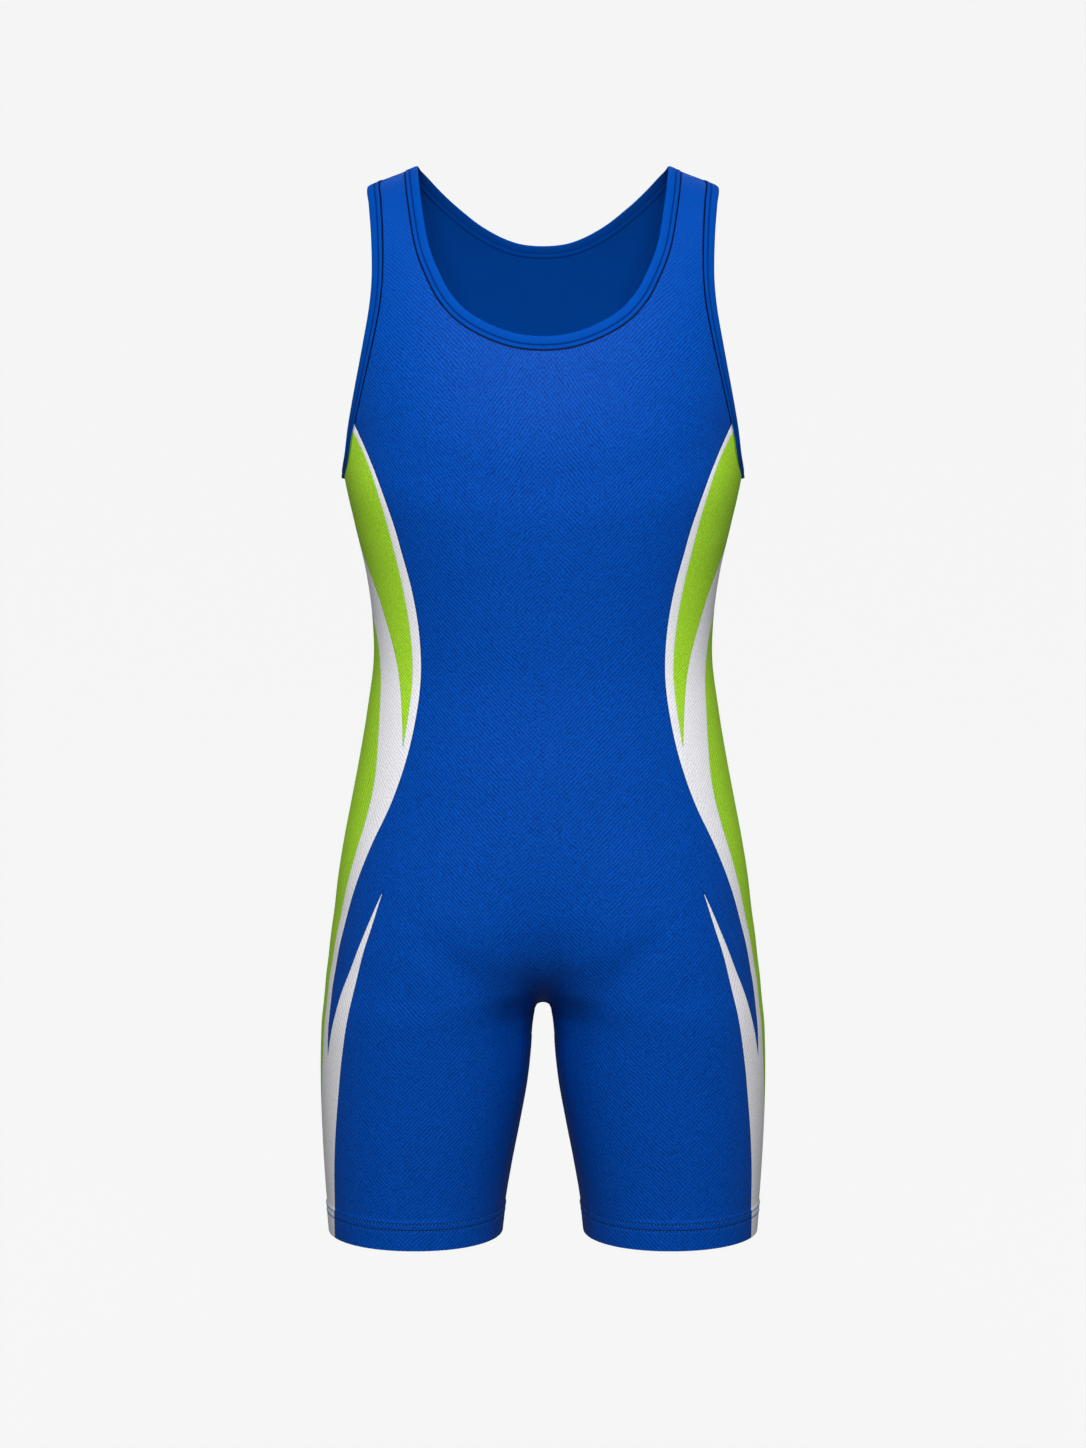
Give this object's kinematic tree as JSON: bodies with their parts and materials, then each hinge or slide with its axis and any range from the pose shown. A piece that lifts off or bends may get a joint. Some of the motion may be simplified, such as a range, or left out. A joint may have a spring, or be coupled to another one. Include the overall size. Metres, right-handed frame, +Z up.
{
  "type": "wrestling singlet",
  "caption": "Sleeveless one-piece wrestling singlet with a scoop neck, racer back and mid-thigh legs, filled out and empty, in blue with curved white and lime side panels.",
  "frame": {"origin": "the middle of the shoulder line, on the centre plane, level with the tops of the two straps where the wearer's shoulders hold the garment up", "axes": "+Z up along the body, the front faces -Y, +X is the wearer's left"},
  "size_m": [0.3624, 0.2436, 0.8771],
  "materials": {
    "blue_knit": "royal blue polyester-elastane warp knit with a fine textured face and a satin sheen",
    "white_knit": "white polyester-elastane warp knit with a satin sheen",
    "lime_knit": "lime green polyester-elastane warp knit with a satin sheen",
    "blue_binding": "royal blue folded smooth knit binding, top-stitched"
  },
  "bodies": {
    "root": {"front_panel": "blue_knit", "back_panel": "blue_knit", "crotch_gusset": "blue_knit", "side_panel_left": "white_knit", "side_panel_right": "white_knit", "lime_insert_upper_left": "lime_knit", "lime_insert_upper_right": "lime_knit", "lime_insert_lower_left": "lime_knit", "lime_insert_lower_right": "lime_knit", "neck_binding": "blue_binding", "armhole_binding_left": "blue_binding", "armhole_binding_right": "blue_binding"}
  },
  "joints": []
}
